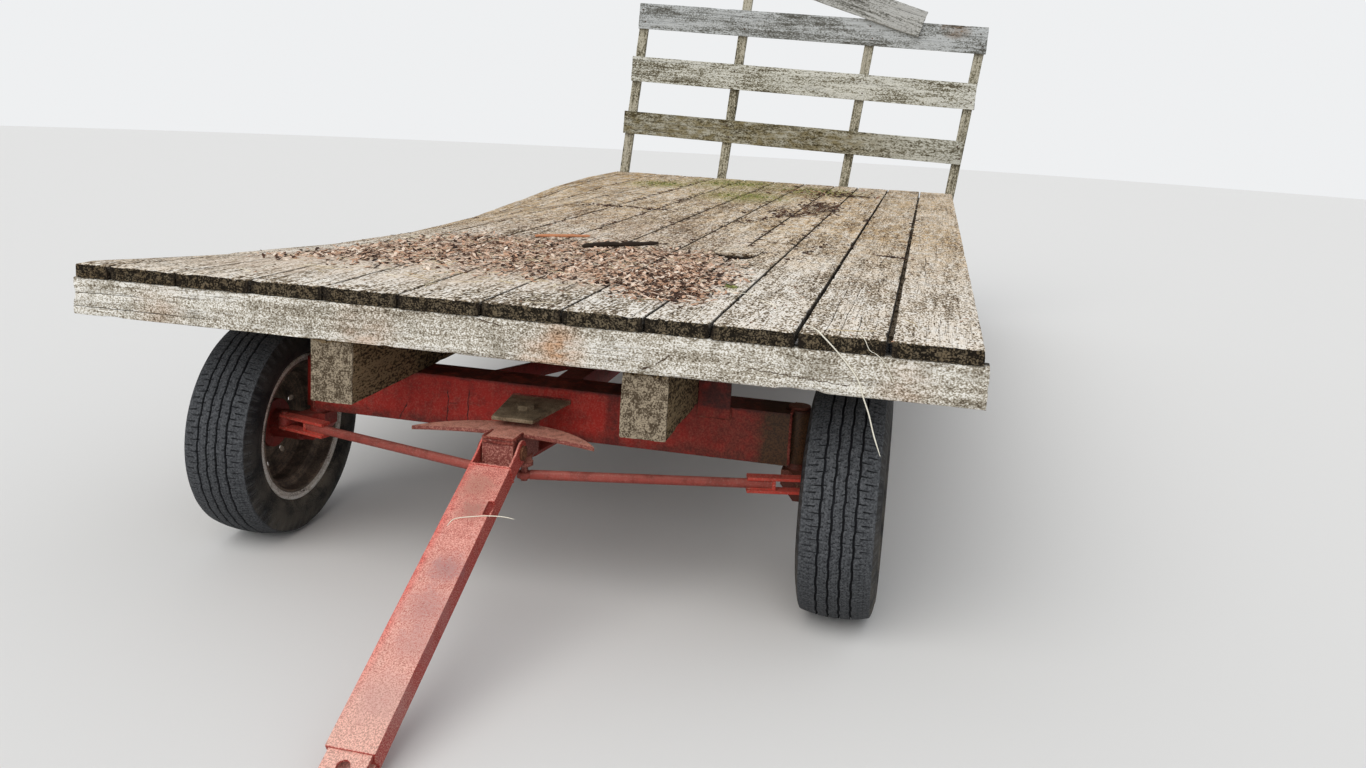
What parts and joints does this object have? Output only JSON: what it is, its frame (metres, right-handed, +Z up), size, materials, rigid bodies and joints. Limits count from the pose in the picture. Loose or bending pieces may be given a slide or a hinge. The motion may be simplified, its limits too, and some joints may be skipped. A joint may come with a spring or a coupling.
{
  "type": "hay wagon",
  "caption": "Old flat-deck hay wagon: plank deck on timber sills and a steel running gear with steered front wheels, drawbar tongue lowered to the ground and a leaning board rack at the rear.",
  "frame": {"origin": "on the ground, under the middle of the overall length and width", "axes": "+Z up, -Y towards the tongue at the front, +X the side on the right when looking along +Y"},
  "size_m": [2.4368, 5.8422, 2.4094],
  "materials": {
    "deck_wood": "weathered grey, bare",
    "frame_wood": "weathered grey, bare",
    "red_paint": "faded red paint with rust",
    "rusty_steel": "rusty, matte",
    "tyre": "matte",
    "rim_paint": "old paint, rusty brown with a pale lip",
    "hub_paint": "faded red paint with rust"
  },
  "bodies": {
    "chassis": {"plank_01": "deck_wood", "plank_02": "deck_wood", "plank_03": "deck_wood", "plank_04": "deck_wood", "plank_05": "deck_wood", "plank_06": "deck_wood", "plank_07": "deck_wood", "plank_08": "deck_wood", "plank_09": "deck_wood", "plank_10": "deck_wood", "plank_11": "deck_wood", "plank_12": "deck_wood", "front_header": "frame_wood", "rear_header": "frame_wood", "cross_beams": "frame_wood", "sill_left": "frame_wood", "sill_right": "frame_wood", "rack_stake_1": "frame_wood", "rack_stake_2": "frame_wood", "rack_stake_3": "frame_wood", "rack_stake_4": "frame_wood", "rack_rail_low": "frame_wood", "rack_rail_mid": "frame_wood", "rack_rail_top": "frame_wood", "rack_loose_board": "frame_wood", "front_axle_beam": "red_paint", "rear_axle_beam": "red_paint", "reach_pole": "red_paint", "reach_sleeve": "red_paint", "front_hounds": "red_paint", "rear_hounds": "red_paint", "bracket_top_plate": "red_paint", "bracket_low_plate": "red_paint", "pivot_bolt": "rusty_steel"},
    "steering": {"steering_head": "red_paint"},
    "tongue": {"tongue": "red_paint", "tongue_pin": "rusty_steel", "hitch_strap_top": "rusty_steel", "hitch_strap_low": "rusty_steel"},
    "knuckle_left": {"knuckle_l": "red_paint"},
    "knuckle_right": {"knuckle_r": "red_paint"},
    "tie_rod_left": {"tie_rod_l": "red_paint", "rod_yoke_l": "red_paint"},
    "tie_rod_right": {"tie_rod_r": "red_paint", "rod_yoke_r": "red_paint"},
    "wheel_fl": {"tyre_fl": "tyre", "rim_fl": "rim_paint", "hub_fl": "hub_paint"},
    "wheel_fr": {"tyre_fr": "tyre", "rim_fr": "rim_paint", "hub_fr": "hub_paint"},
    "wheel_rl": {"tyre_rl": "tyre", "rim_rl": "rim_paint", "hub_rl": "hub_paint"},
    "wheel_rr": {"tyre_rr": "tyre", "rim_rr": "rim_paint", "hub_rr": "hub_paint"}
  },
  "joints": [
    {"name": "steer", "type": "hinge", "parent": "chassis", "child": "steering", "pos_m": [-0.06243, -1.95485, 0.44], "axis": [0, 0, 1], "range_deg": [-25, 25]},
    {"name": "tongue_lift", "type": "hinge", "parent": "steering", "child": "tongue", "pos_m": [-0.06243, -2.11185, 0.44], "axis": [-1, 0, 0], "range_deg": [0, 75]},
    {"name": "knuckle_left", "type": "hinge", "parent": "chassis", "child": "knuckle_left", "pos_m": [-0.76743, -1.76885, 0.44], "axis": [0, 0, 1], "range_deg": [-25, 25]},
    {"name": "tie_rod_left", "type": "hinge", "parent": "steering", "child": "tie_rod_left", "pos_m": [-0.10743, -2.06985, 0.37], "axis": [0, 0, 1], "range_deg": [-25, 25]},
    {"name": "knuckle_right", "type": "hinge", "parent": "chassis", "child": "knuckle_right", "pos_m": [0.64257, -1.76885, 0.44], "axis": [0, 0, 1], "range_deg": [-25, 25]},
    {"name": "tie_rod_right", "type": "hinge", "parent": "steering", "child": "tie_rod_right", "pos_m": [-0.01743, -2.06985, 0.37], "axis": [0, 0, 1], "range_deg": [-25, 25]},
    {"name": "wheel_fl", "type": "hinge", "parent": "knuckle_left", "child": "wheel_fl", "pos_m": [-0.90743, -1.76885, 0.322], "axis": [1, 0, 0], "continuous": true},
    {"name": "wheel_fr", "type": "hinge", "parent": "knuckle_right", "child": "wheel_fr", "pos_m": [0.78257, -1.76885, 0.322], "axis": [1, 0, 0], "continuous": true},
    {"name": "wheel_rl", "type": "hinge", "parent": "chassis", "child": "wheel_rl", "pos_m": [-0.90743, 1.53115, 0.322], "axis": [1, 0, 0], "continuous": true},
    {"name": "wheel_rr", "type": "hinge", "parent": "chassis", "child": "wheel_rr", "pos_m": [0.78257, 1.53115, 0.322], "axis": [1, 0, 0], "continuous": true}
  ],
  "couplings": [
    {"joint": "knuckle_left", "follows": "steer", "ratio": 1},
    {"joint": "tie_rod_left", "follows": "steer", "ratio": -1},
    {"joint": "knuckle_right", "follows": "steer", "ratio": 1},
    {"joint": "tie_rod_right", "follows": "steer", "ratio": -1}
  ]
}
